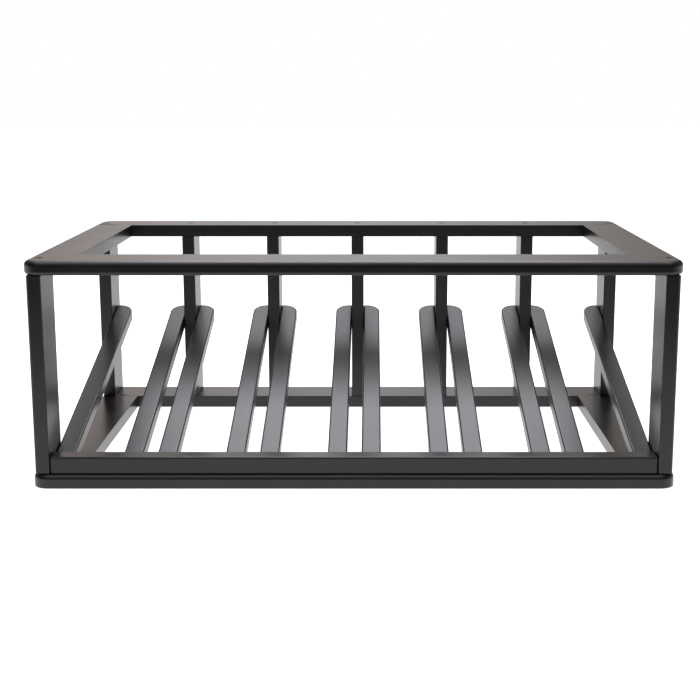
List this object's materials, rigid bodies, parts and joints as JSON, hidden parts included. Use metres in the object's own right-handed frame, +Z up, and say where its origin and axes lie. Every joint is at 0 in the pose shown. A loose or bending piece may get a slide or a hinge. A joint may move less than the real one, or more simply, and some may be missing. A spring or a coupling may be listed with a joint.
{
  "type": "firewood log rack",
  "caption": "Low open floor rack of black-painted wooden boards, with top and bottom rings, upright posts and sloping slats that cradle logs lying front to back.",
  "frame": {"origin": "middle of the footprint on the floor", "axes": "+X along the width to the right, +Y from the open front towards the row of back posts, +Z up"},
  "size_m": [0.92, 0.576, 0.326],
  "materials": {
    "painted_wood": "satin black paint over planed boards, a trace of grain showing",
    "bare_dowel": "bare beech",
    "black_screw": "black oxide"
  },
  "bodies": {
    "root": {"top_front_board": "painted_wood", "top_back_board": "painted_wood", "top_left_board": "painted_wood", "top_right_board": "painted_wood", "bottom_front_board": "painted_wood", "bottom_back_board": "painted_wood", "bottom_left_board": "painted_wood", "bottom_right_board": "painted_wood", "front_left_post": "painted_wood", "front_right_post": "painted_wood", "back_left_post": "painted_wood", "back_post_1": "painted_wood", "back_post_2": "painted_wood", "back_post_3": "painted_wood", "back_post_4": "painted_wood", "back_post_5": "painted_wood", "back_right_post": "painted_wood", "lower_front_rail": "painted_wood", "slat_1": "painted_wood", "slat_2": "painted_wood", "slat_3": "painted_wood", "slat_4": "painted_wood", "slat_5": "painted_wood", "slat_6": "painted_wood", "slat_7": "painted_wood", "slat_8": "painted_wood", "slat_9": "painted_wood", "slat_10": "painted_wood", "slat_11": "painted_wood", "slat_12": "painted_wood", "slat_dowel_1": "bare_dowel", "slat_dowel_2": "bare_dowel", "slat_dowel_3": "bare_dowel", "slat_dowel_4": "bare_dowel", "slat_dowel_5": "bare_dowel", "slat_dowel_6": "bare_dowel", "slat_dowel_7": "bare_dowel", "top_screw_1": "black_screw", "bottom_screw_1": "black_screw", "top_screw_2": "black_screw", "bottom_screw_2": "black_screw", "top_screw_3": "black_screw", "bottom_screw_3": "black_screw", "top_screw_4": "black_screw", "bottom_screw_4": "black_screw", "top_screw_5": "black_screw", "bottom_screw_5": "black_screw", "top_screw_6": "black_screw", "bottom_screw_6": "black_screw", "top_screw_7": "black_screw", "bottom_screw_7": "black_screw", "top_screw_8": "black_screw", "bottom_screw_8": "black_screw", "top_screw_9": "black_screw", "bottom_screw_9": "black_screw", "rail_screw_1": "black_screw", "rail_screw_2": "black_screw", "rail_screw_3": "black_screw"}
  },
  "joints": []
}
